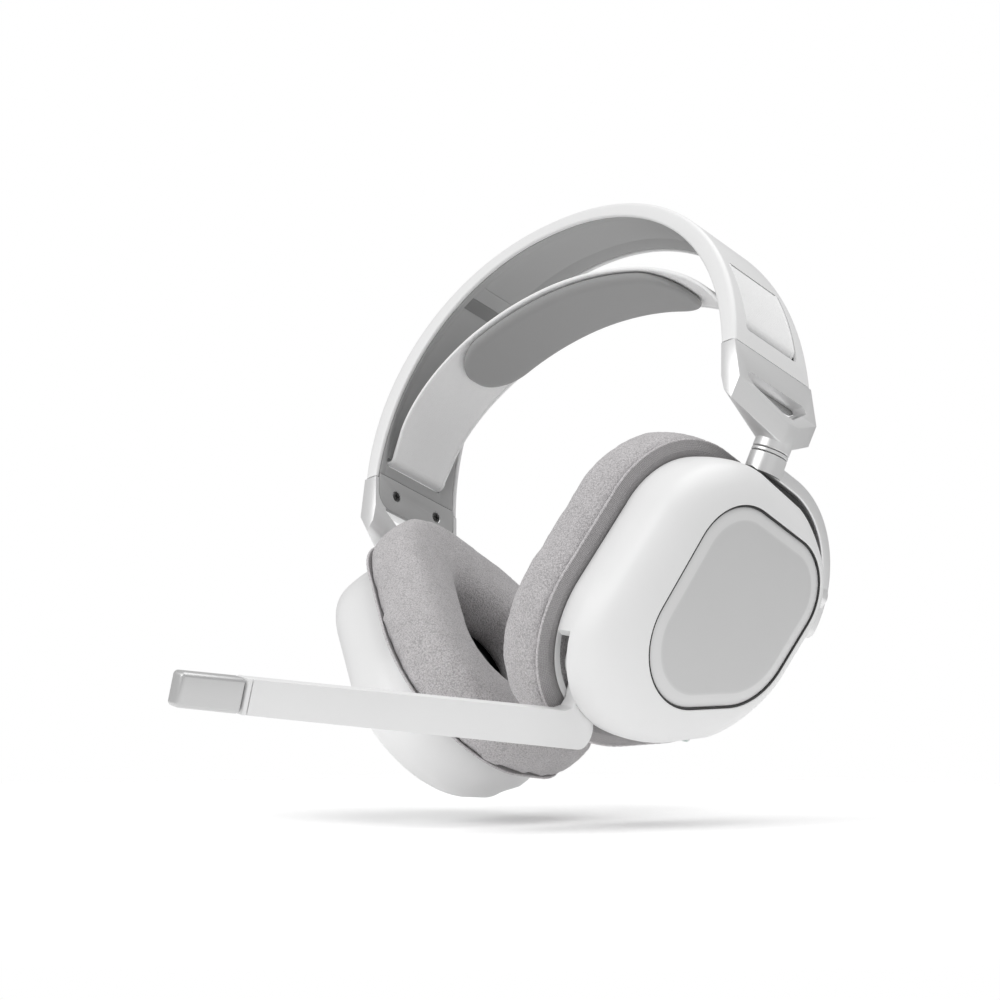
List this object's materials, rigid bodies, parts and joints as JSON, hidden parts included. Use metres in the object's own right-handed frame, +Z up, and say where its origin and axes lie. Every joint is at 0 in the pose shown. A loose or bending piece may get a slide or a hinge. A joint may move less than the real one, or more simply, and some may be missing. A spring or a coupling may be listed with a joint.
{
  "type": "gaming headset",
  "caption": "Wireless over-ear headset with an arched headband, a floating fabric strap, swivelling padded cups and a flip-up microphone boom.",
  "frame": {"origin": "centre of the strap pad's underside, where the headset rests on the crown of the head", "axes": "+X towards the wearer's left ear, -Y towards the face, +Z up"},
  "size_m": [0.1704, 0.2219, 0.2327],
  "materials": {
    "white_shell": "satin",
    "grey_panel": "satin",
    "silver_link": "satin",
    "steel": "satin",
    "liner_grey": "matte",
    "pad_grey": "matte",
    "strap_cloth": "matte",
    "cushion_knit": "matte",
    "screen_cloth": "matte",
    "dark_plastic": "matte",
    "board_green": "satin",
    "diaphragm_film": "satin",
    "tip_grey": "satin",
    "rubber_black": "matte",
    "light_clear": "gloss",
    "battery_wrap": "satin"
  },
  "bodies": {
    "headband": {"band_shell": "white_shell", "band_spring": "steel", "band_liner": "liner_grey", "crossover_cable": "rubber_black", "strap": "strap_cloth", "strap_pad": "pad_grey", "left_liner_cap": "liner_grey", "left_cap_screw_1": "dark_plastic", "left_cap_screw_2": "dark_plastic", "left_hook_patch": "dark_plastic", "left_link": "silver_link", "left_swivel_pin": "steel", "left_swivel_collar": "dark_plastic", "right_liner_cap": "liner_grey", "right_cap_screw_1": "dark_plastic", "right_cap_screw_2": "dark_plastic", "right_hook_patch": "dark_plastic", "right_link": "silver_link", "right_swivel_pin": "steel", "right_swivel_collar": "dark_plastic"},
    "left_yoke": {"left_yoke": "silver_link", "left_tilt_pin": "steel"},
    "left_cup": {"left_housing": "white_shell", "left_panel": "grey_panel", "left_baffle": "dark_plastic", "left_driver_frame": "dark_plastic", "left_magnet": "steel", "left_diaphragm": "diaphragm_film", "left_ear_screen": "screen_cloth", "left_cushion": "cushion_knit", "main_board": "board_green", "usb_port": "steel", "status_light": "light_clear", "wheel_axle": "steel", "boom_screw": "steel"},
    "boom": {"boom_arm": "white_shell", "boom_collar": "white_shell", "boom_tip": "tip_grey", "mic_capsule": "rubber_black"},
    "volume_wheel": {"volume_wheel": "grey_panel"},
    "power_button": {"power_button": "grey_panel"},
    "right_yoke": {"right_yoke": "silver_link", "right_tilt_pin": "steel"},
    "right_cup": {"right_housing": "white_shell", "right_panel": "grey_panel", "right_baffle": "dark_plastic", "right_driver_frame": "dark_plastic", "right_magnet": "steel", "right_diaphragm": "diaphragm_film", "right_ear_screen": "screen_cloth", "right_cushion": "cushion_knit", "right_battery": "battery_wrap"}
  },
  "joints": [
    {"name": "left_swivel", "type": "hinge", "parent": "headband", "child": "left_yoke", "pos_m": [0.0753, 0, -0.0782], "axis": [0.4571, 0, 0.8894], "range_deg": [-10, 90]},
    {"name": "left_tilt", "type": "hinge", "parent": "left_yoke", "child": "left_cup", "pos_m": [0.0623, 0.03915, -0.10829], "axis": [-0.0248, -0.9996, 0.0128], "range_deg": [-3, 12]},
    {"name": "right_swivel", "type": "hinge", "parent": "headband", "child": "right_yoke", "pos_m": [-0.0753, 0, -0.0782], "axis": [0.4571, 0, -0.8894], "range_deg": [-10, 90]},
    {"name": "right_tilt", "type": "hinge", "parent": "right_yoke", "child": "right_cup", "pos_m": [-0.06419, 0.03898, -0.10925], "axis": [-0.0729, 0.9966, -0.0375], "range_deg": [-3, 12]},
    {"name": "boom_flip", "type": "hinge", "parent": "left_cup", "child": "boom", "pos_m": [0.03279, -0.03868, -0.15001], "axis": [-0.8891, 0.0279, 0.4569], "range_deg": [0, 95]},
    {"name": "volume_turn", "type": "hinge", "parent": "left_cup", "child": "volume_wheel", "pos_m": [0.05291, 0.02968, -0.12707], "axis": [0.8891, -0.0279, -0.4569], "continuous": true},
    {"name": "power_press", "type": "slide", "parent": "left_cup", "child": "power_button", "axis": [0.4224, -0.3349, 0.8423], "range_m": [0, 0.0006], "stiffness_N_per_m": 500}
  ]
}
